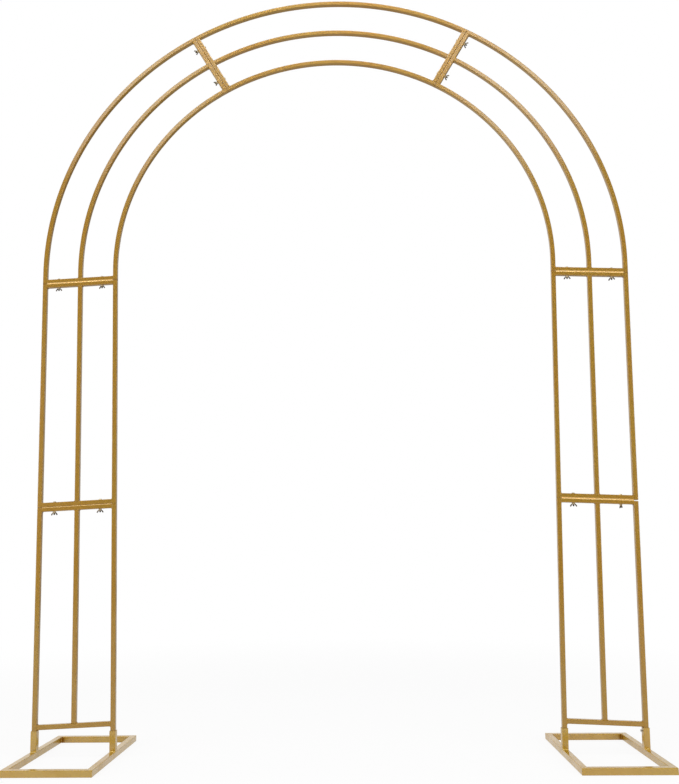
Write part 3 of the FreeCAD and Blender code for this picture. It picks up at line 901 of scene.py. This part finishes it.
def bolt_model():
    """A hexagon bolt along Z. The joint plane is at 0 and the nut's side is above."""
    f, s = settings("fastener_sizes"), settings("arch_sizes")
    steps = 48
    radius, tall = f.head_across / 2, f.head_height
    flat = radius * math.cos(math.pi / 6)
    sides = [hexagon(radius, 2 * math.pi * i / steps) for i in range(steps)]
    outline = ((flat * 0.88, -tall), (flat * 0.97, -tall * 0.93), (radius * 0.985, -tall * 0.78),
               (radius, -tall * 0.6), (radius, -0.0004), (radius * 0.96, 0.0))
    head = solid("head", [circle([min(side, cap) for side in sides], z - s.tube) for cap, z in outline])
    write(head, EDGE, [0.0] * len(head.vertices))
    start, end = s.tube - f.bare, s.tube + f.tail
    shank = solid("shank", [circle([f.bolt / 2] * THREAD_STEPS, -s.tube)] + thread_rings(
        f.bolt / 2, start, end, int((end - start) / (f.pitch / 5)), f.taper))
    # Painted shade over the bolt's tail, full towards its end
    write(shank, EDGE, [clamped((v.co.z - end) / f.tail * 1.6 + 1.6) for v in shank.vertices])
    return plain(add_object("bolt_model", merged("bolt_model", [head, shank])), "bolt_model", 40.0)


def wing_outline():
    """The ear of a wing nut from the side, as (out, up), smoothed through a few points."""
    f = settings("fastener_sizes")
    knots = [Vector((out * f.wing_span / 2, up * f.wing_reach)) for out, up in WING_KNOTS]
    smooth = []
    for i in range(len(knots) - 1):
        p = [knots[max(0, min(len(knots) - 1, i + k))] for k in (-1, 0, 1, 2)]
        for u in (0.0, 1 / 3, 2 / 3):
            smooth.append(0.5 * (2 * p[1] + (p[2] - p[0]) * u + (2 * p[0] - 5 * p[1] + 4 * p[2] - p[3]) * u * u
                                 + (3 * p[1] - p[0] - 3 * p[2] + p[3]) * u ** 3))
    return smooth + [knots[-1]]


def wing_nut_model():
    """A wing nut that sits on the plane Z = 0 with its wings along X."""
    f = settings("fastener_sizes")
    foot, neck, bore, tall = f.nut_foot / 2, f.nut_neck / 2, f.bolt / 2, f.nut_height
    body = turned("nut_body", [
        (bore, 0.0), (foot - 0.0003, 0.0), (foot, 0.0003), (foot, 0.0009), (foot - 0.0004, 0.0014),
        (neck + 0.0004, 0.0022), (neck, tall * 0.7), (neck - 0.0001, tall - 0.0003), (neck - 0.0003, tall),
        (bore + 0.0002, tall), (bore, tall - 0.0002)], 32, capped=False)
    parts = [write(body, EDGE, [0.0] * len(body.vertices))]
    outline = wing_outline()
    centre = sum(outline, Vector((0.0, 0.0))) / len(outline)
    for side in (1, -1):
        rings = []
        for across, shrink in WING_SECTIONS:
            thick = side * across * f.wing_thickness
            spots = [centre + (spot - centre) * shrink for spot in outline]
            rings.append([(side * p.x, thick * (1.15 - 0.35 * p.y / f.wing_reach), p.y) for p in spots])
        ear = solid(f"ear_{side}", rings)
        # Painted shade over the wings, strongest towards their tips
        parts.append(write(ear, EDGE, [clamped(v.co.z / f.wing_reach * 1.6 + 0.4) for v in ear.vertices]))
    return plain(add_object("wing_nut_model", merged("wing_nut_model", parts)), "wing_nut_model", 40.0)


def thumb_screw_model():
    """A thumb screw that sticks out along Z from Z = 0, the outer face of a socket's wall."""
    f, s, b = settings("fastener_sizes"), settings("arch_sizes"), settings("base_sizes")
    head, neck, grip = f.screw_head / 2, f.screw_neck, f.screw_grip
    shank = solid("shank", thread_rings(f.screw / 2, -(b.bar - s.tube) / 2, neck, 22))
    cap = turned("thumb_head", [
        (head * 0.72, neck), (head * 0.93, neck + 0.0003), (head * 0.98, neck + 0.0007),
        (head * 0.98, neck + grip - 0.0007), (head * 0.93, neck + grip - 0.0003), (head * 0.78, neck + grip),
        (head * 0.45, neck + grip - 0.0003)], 36)
    work = add_object("thumb_work", merged("thumb_screw_model", [shank, cap]))
    apply_tree(work, tree_named("knurled_ribs"), {
        "Ribs": 18, "Radius": head * 0.97, "Start": neck, "Grip": grip, "Material": finish_named("zinc_plate")})
    return plain(work, "thumb_screw_model", 40.0)


def fastener_turn(axis, spin):
    """Turns a fastener's Z onto an axis after a spin about its own axis, by the short way round."""
    return (UPRIGHT.rotation_difference(axis).to_matrix() @ Matrix.Rotation(spin, 3, "Z")).to_euler()


def fastener_piece(name, model, spots, node, finish):
    """One piece from copies of a fastener. A spot is (place, axis, spin)."""
    turns = [value for _, axis, spin in spots for value in fastener_turn(axis, spin)]
    mesh = write(mesh_of(name + "_points", [spot[0] for spot in spots]), TURN, turns, "FLOAT_VECTOR", "vector")
    work = add_object(name + "_points", mesh)
    apply_tree(work, tree_named("fasteners_on_points"), {"Fastener": model, "Material": finish_named(finish)})
    keep(plain(work, name, 40.0), FASTENER_SLOT, node, slack=settings("fastener_sizes").wing_span / 2)


def joint_axes(joint):
    """Each bolt of a joint: its place in the joint plane and the way its tail points."""
    s, f = settings("arch_sizes"), settings("fastener_sizes")
    drop = {"springing": s.springing, "lower_joint": s.springing + s.upper_leg, "crown": 0.0}[joint]
    spots = []
    for side in (LEFT, RIGHT):
        spot = partial(crown_spot if joint == "crown" else leg_spot, side)
        for reach in (s.radius + f.offset, s.radius - f.offset):
            place, tip = spot(reach, drop), spot(reach, drop + 1.0)
            spots.append((place, (tip - place).normalized()))
    return spots


# Operators

class ARCH_OT_leg_panels(bpy.types.Operator):
    """Build the tubes and rails of the four leg panels"""
    bl_idname = "wedding_arch.leg_panels"
    bl_label = "Leg panels"

    def execute(self, context):
        s = settings("arch_sizes")
        half = s.tube / 2
        top, middle = s.springing, s.springing + s.upper_leg
        rail = middle + s.lower_leg
        for side, side_name in SIDE_NAMES.items():
            upper, lower = f"{side_name}_upper_leg", f"{side_name}_lower_leg"
            for row_name, row in ROWS.items():
                back = row_back(row)
                gap = s.open_gap if (side, row) == (RIGHT, 1) else back
                bottom = rail - half if row == 0 else self.foot_drop(row)
                panel_tube(upper, row_name, leg_run(side, row, top + back, middle - back), end_shade=(END_SHADE, 0.0))
                panel_tube(lower, row_name, leg_run(side, row, middle + gap, bottom), end_shade=(0.0, 0.0))
            spot = partial(leg_spot, side)
            above, below = LOWER_SEAMS[side]
            panel_rails(upper, [rail_run(spot, top + half), rail_run(spot, middle - half)],
                        [(spot, top, PAINTED_HIGHLIGHT), (spot, middle, above)])
            panel_rails(lower, [rail_run(spot, middle + half), rail_run(spot, rail)], [(spot, middle, below)])
        return {"FINISHED"}

    def foot_drop(self, row):
        """How far down the leg a tube ends in its socket, clear of the base bar at its lower corner."""
        s, b = settings("arch_sizes"), settings("base_sizes")
        end = arch_height() - b.bar - b.foot_clearance - (row_radius(row) + s.tube / 2) * math.sin(s.lean)
        return end / math.cos(s.lean)


class ARCH_OT_round_panels(bpy.types.Operator):
    """Build the rolled tubes and rails of the two side arcs and the crown"""
    bl_idname = "wedding_arch.round_panels"
    bl_label = "Round panels"

    def execute(self, context):
        s = settings("arch_sizes")
        half = s.tube / 2
        crowns = {side: partial(crown_spot, side) for side in (LEFT, RIGHT)}
        for row_name, row in ROWS.items():
            panel_tube("crown", row_name, crown_run(row))
            for side, side_name in SIDE_NAMES.items():
                panel_tube(f"{side_name}_arch", row_name, side_arch_run(side, row))
        panel_rails("crown", [rail_run(spot, -half) for spot in crowns.values()],
                    [(spot, 0.0, CROWN_SEAM) for spot in crowns.values()])
        for side, side_name in SIDE_NAMES.items():
            leg, crown = partial(leg_spot, side), crowns[side]
            panel_rails(f"{side_name}_arch", [rail_run(leg, s.springing - half), rail_run(crown, half)],
                        [(leg, s.springing, SPRINGING_SEAM), (crown, 0.0, CROWN_SEAM)])
        return {"FINISHED"}


class ARCH_OT_panel_welds(bpy.types.Operator):
    """Build the weld beads of the seven panels"""
    bl_idname = "wedding_arch.panel_welds"
    bl_label = "Panel welds"

    def execute(self, context):
        s = settings("arch_sizes")
        half = s.tube / 2
        top, middle = s.springing, s.springing + s.upper_leg
        for side, side_name in SIDE_NAMES.items():
            leg, crown = partial(leg_spot, side), partial(crown_spot, side)
            for panel, rails in (
                    ("upper_leg", ((leg, top + half, -1), (leg, middle - half, 1))),
                    ("lower_leg", ((leg, middle + half, -1), (leg, middle + s.lower_leg, 0))),
                    ("arch", ((leg, top - half, 1), (crown, half, -1)))):
                bead_piece(f"{side_name}_{panel}_welds",
                           [loop for rail in rails for loop in panel_beads(*rail, half)], PANEL_SLOT)
        crowns = [partial(crown_spot, side) for side in (LEFT, RIGHT)]
        bead_piece("crown_welds", [loop for crown in crowns for loop in panel_beads(crown, -half, 1, half)],
                   PANEL_SLOT)
        return {"FINISHED"}


class ARCH_OT_base_frames(bpy.types.Operator):
    """Build the mitred base bars, the sockets and their welds"""
    bl_idname = "wedding_arch.base_frames"
    bl_label = "Base frames"

    def execute(self, context):
        for side, side_name in SIDE_NAMES.items():
            self.bars(side, side_name)
            self.sockets(side, side_name)
            self.welds(side, side_name)
        return {"FINISHED"}

    def bars(self, side, side_name):
        b = settings("base_sizes")
        half = b.bar / 2
        near, far = foot_place(side, -1).x, foot_place(side, 1).x
        reach = b.depth / 2 - half
        (front_near, rear_near), (front_far, rear_far) = (
            [Vector((x, end * reach, half)) for end in (-1, 1)] for x in (near, far))
        bars = {"front": (front_near, front_far), "rear": (rear_near, rear_far),
                "inner": (front_near, rear_near), "outer": (front_far, rear_far)}
        middle = Vector(((near + far) / 2, 0.0, half))
        nook = rear_far + Vector((-side * half, -half, 0.0))
        for bar_name, (start, stop) in bars.items():
            node = f"{side_name}_base_{bar_name}_bar"
            axis = (stop - start).normalized()
            spots = [start, start + axis * b.shaded_end, stop - axis * b.shaded_end, stop]
            piece = tube_piece("painted_" + node, [(spots, False, 1.0)], b.bar, b.corner, b.wall,
                               "gold_base_paint", (0.0, 0.0, 1.0))
            ends = []
            for end in (start, stop):
                inward = middle - end
                mitre = Vector((math.copysign(1.0, inward.y), -math.copysign(1.0, inward.x), 0.0)).normalized()
                ends.append((end, axis, mitre))
            cut_ends(piece, ends)
            # Painted shade in the inside corner where the outer bar meets the rear bar, below its top
            write(piece.data, SEAM, [float((v.co.xy - nook.xy).length < half and v.co.z < b.bar - b.corner / 2)
                                     for v in piece.data.vertices])
            keep(piece, BASE_SLOT, node)

    def sockets(self, side, side_name):
        s, b = settings("arch_sizes"), settings("base_sizes")
        axis = Vector((side * math.sin(s.lean), 0.0, math.cos(s.lean)))
        runs, ends = [], []
        for row in (-1, 1):
            foot = foot_place(side, row)
            top = foot + axis * (b.socket_height / axis.z)
            runs.append(([foot, top], False, 1.0))
            ends += [(foot, axis, UPRIGHT), (top, axis, UPRIGHT)]
        node = f"{side_name}_sockets"
        piece = tube_piece("painted_" + node, runs, b.bar, b.socket_corner, b.socket_wall, "gold_base_paint")
        cut_ends(piece, ends)
        keep(piece, BASE_SLOT, node)

    def welds(self, side, side_name):
        b, w = settings("base_sizes"), settings("weld_sizes")
        half = b.bar / 2
        fit, out, corner, size = half - w.flush, half + 0.1 * w.foot, w.foot_bend, w.flush * 0.75
        low = size - w.crown_height
        round_foot = [(-fit + corner, -out), (fit - corner, -out), (fit, -out + corner), (fit, out - corner),
                      (fit - corner, out), (-fit + corner, out), (-fit, out - corner), (-fit, -out + corner)]
        foot_sizes = [w.foot, w.foot, w.flush, w.flush] * 2
        wide, tall = half * math.sqrt(2.0), half
        round_mitre = [(-wide + 0.002, tall), (wide - 0.0026, tall), (wide - 0.0014, tall - 0.001),
                       (wide - 0.0014, -tall + 0.001), (wide - 0.0026, -tall), (-wide + 0.002, -tall),
                       (-wide - 0.0004, -tall + 0.001), (-wide - 0.0004, tall - 0.001)]
        runs = []
        for row in (-1, 1):
            foot = foot_place(side, row)
            runs.append(([foot + Vector((x, y, w.crown_height)) for x, y in round_foot], True, foot_sizes))
            for end in (-1, 1):
                turn = Vector((side * row, end, 0.0)).normalized()
                centre = Vector((foot.x, end * (b.depth / 2 - half), half))
                runs.append(([centre + turn * across + UPRIGHT * (up - math.copysign(low, up))
                              for across, up in round_mitre], True, size))
        bead_piece(f"{side_name}_base_welds", runs, BASE_SLOT)


class ARCH_OT_bolts(bpy.types.Operator):
    """Build the threaded bolts of the six joints"""
    bl_idname = "wedding_arch.bolts"
    bl_label = "Bolts"

    def execute(self, context):
        model = bolt_model()
        for joint in ("lower_joint", "springing", "crown"):
            spots = [(place, axis, 0.35 * i) for i, (place, axis) in enumerate(joint_axes(joint))]
            fastener_piece(f"threaded_{joint}_bolts", model, spots, f"{joint}_bolts", "tan_zinc")
        drop(model)
        return {"FINISHED"}


class ARCH_OT_wing_nuts(bpy.types.Operator):
    """Build the wing nuts of the six joints"""
    bl_idname = "wedding_arch.wing_nuts"
    bl_label = "Wing nuts"

    def execute(self, context):
        s = settings("arch_sizes")
        model = wing_nut_model()
        for joint in ("lower_joint", "springing", "crown"):
            spots = [(place + axis * s.tube, axis, math.radians(spin))
                     for (place, axis), spin in zip(joint_axes(joint), WING_SPINS[joint])]
            fastener_piece(f"cast_{joint}_wing_nuts", model, spots, f"{joint}_wing_nuts",
                           "tan_zinc" if joint == "crown" else "brown_zinc")
        drop(model)
        return {"FINISHED"}


class ARCH_OT_socket_screws(bpy.types.Operator):
    """Build the thumb screws of the outer sockets"""
    bl_idname = "wedding_arch.socket_screws"
    bl_label = "Socket screws"

    def execute(self, context):
        s, b, f = settings("arch_sizes"), settings("base_sizes"), settings("fastener_sizes")
        model = thumb_screw_model()
        spots = []
        for side in (LEFT, RIGHT):
            foot = foot_place(side, 1)
            rise = b.socket_height - f.screw_drop
            spot = foot + Vector((side * rise * math.tan(s.lean), 0.0, rise))
            inner, rear = Vector((-side * math.cos(s.lean), 0.0, math.sin(s.lean))), Vector((0.0, 1.0, 0.0))
            axis = inner if side == RIGHT else rear
            spots.append((spot + axis * b.bar / 2, axis, 0.0))
        fastener_piece("knurled_socket_screws", model, spots, "socket_screws", "zinc_plate")
        drop(model)
        return {"FINISHED"}


class ARCH_OT_studio(bpy.types.Operator):
    """Set up the floor, the lamps, the world and the camera"""
    bl_idname = "wedding_arch.studio"
    bl_label = "Studio"

    def execute(self, context):
        studio = settings("arch_studio")
        wide, level = studio.floor, -studio.floor_drop
        corners = [(-wide, -wide, level), (wide, -wide, level), (wide, wide, level), (-wide, wide, level)]
        floor = mesh_of("studio_floor", corners, [], [(0, 1, 2, 3)])
        floor.materials.append(finish_named("pale_floor"))
        add_object("studio_floor", floor)
        for name, power, place, aim, size in LAMPS:
            self.lamp(name, place, aim, size, getattr(studio, power))
        self.world(studio.world, studio.behind)
        self.camera(studio.lens)
        context.scene.view_settings.view_transform = "Standard"
        return {"FINISHED"}

    def lamp(self, name, place, aim, size, power):
        data = bpy.data.lights.new(name, "AREA")
        data.shape = "RECTANGLE"
        data.energy, data.size, data.size_y = power, *size
        lamp = add_object(name, data)
        lamp.location = place
        lamp.rotation_euler = (Vector(aim) - Vector(place)).to_track_quat("-Z", "Y").to_euler()

    def world(self, strength, behind):
        """Even light from all round. The viewer sees white, and reflections show a dimmer room behind."""
        world = bpy.data.worlds.new("studio_world")
        bpy.context.scene.world = world
        world.use_nodes = True
        net = Net(world.node_tree)
        viewed, mirrored, through = net.rays()
        viewed = net.larger(viewed, through)
        toward = net.node("ShaderNodeTexCoord", out="Generated")
        across, back, up = net.outputs("ShaderNodeSeparateXYZ", "XYZ", {"Vector": toward})
        far = net.spread(across, 0.32, 0.45, 1.0, 0.2)
        room = net.spread(back, -0.75, 0.1, behind, 1.0) * far
        room = net.larger(room, net.spread(up, 0.65, 1.0, behind, 1.0))
        soft = net.node("ShaderNodeBackground", {"Color": WHITE, "Strength": strength})
        white = net.node("ShaderNodeBackground", {"Color": WHITE, "Strength": net.larger(viewed, room)})
        net.finish("OUTPUT_WORLD", net.mix(net.larger(viewed, mirrored), soft, white))

    def camera(self, lens):
        """The viewer stands in front at hip height, looks slightly up and holds the camera nearly level."""
        data = bpy.data.cameras.new("viewer")
        data.sensor_fit, data.sensor_height, data.lens = "VERTICAL", FRAME_HEIGHT, lens
        yaw, pitch, roll = (math.radians(degrees) for degrees in VIEWER_TURN)
        turn = Matrix.Rotation(yaw, 3, "Z") @ Matrix.Rotation(pitch, 3, "X") @ Matrix.Rotation(roll, 3, "Y")
        turn = turn @ Matrix.Rotation(math.pi / 2, 3, "X")
        viewer = add_object("viewer", data)
        viewer.matrix_world = Matrix.Translation(VIEWER_PLACE) @ turn.to_4x4()
        bpy.context.scene.camera = viewer


OPERATORS = (ARCH_OT_leg_panels, ARCH_OT_round_panels, ARCH_OT_panel_welds, ARCH_OT_base_frames, ARCH_OT_bolts,
             ARCH_OT_wing_nuts, ARCH_OT_socket_screws, ARCH_OT_studio)


class ARCH_PT_sidebar(bpy.types.Panel):
    """Lists the arch's sizes and the steps that build it"""
    bl_idname = "ARCH_PT_sidebar"
    bl_label = "Wedding arch"
    bl_space_type = "VIEW_3D"
    bl_region_type = "UI"
    bl_category = "Wedding arch"

    def draw(self, context):
        for operator in OPERATORS:
            self.layout.operator(operator.bl_idname)
        for name, group in GROUPS.items():
            box = self.layout.box()
            for label in group.__annotations__:
                box.prop(getattr(context.scene, name), label)


def register():
    for group in GROUPS.values():
        bpy.utils.register_class(group)
    for name, group in GROUPS.items():
        setattr(bpy.types.Scene, name, bpy.props.PointerProperty(type=group))
    for operator in OPERATORS:
        bpy.utils.register_class(operator)
    bpy.utils.register_class(ARCH_PT_sidebar)


def unregister():
    bpy.utils.unregister_class(ARCH_PT_sidebar)
    for operator in reversed(OPERATORS):
        bpy.utils.unregister_class(operator)
    for name in GROUPS:
        delattr(bpy.types.Scene, name)
    for group in reversed(GROUPS.values()):
        bpy.utils.unregister_class(group)


def main():
    register()
    bpy.ops.wedding_arch.leg_panels()
    bpy.ops.wedding_arch.round_panels()
    bpy.ops.wedding_arch.panel_welds()
    bpy.ops.wedding_arch.base_frames()
    bpy.ops.wedding_arch.bolts()
    bpy.ops.wedding_arch.wing_nuts()
    bpy.ops.wedding_arch.socket_screws()
    bpy.ops.wedding_arch.studio()


if __name__ == "__main__":
    main()
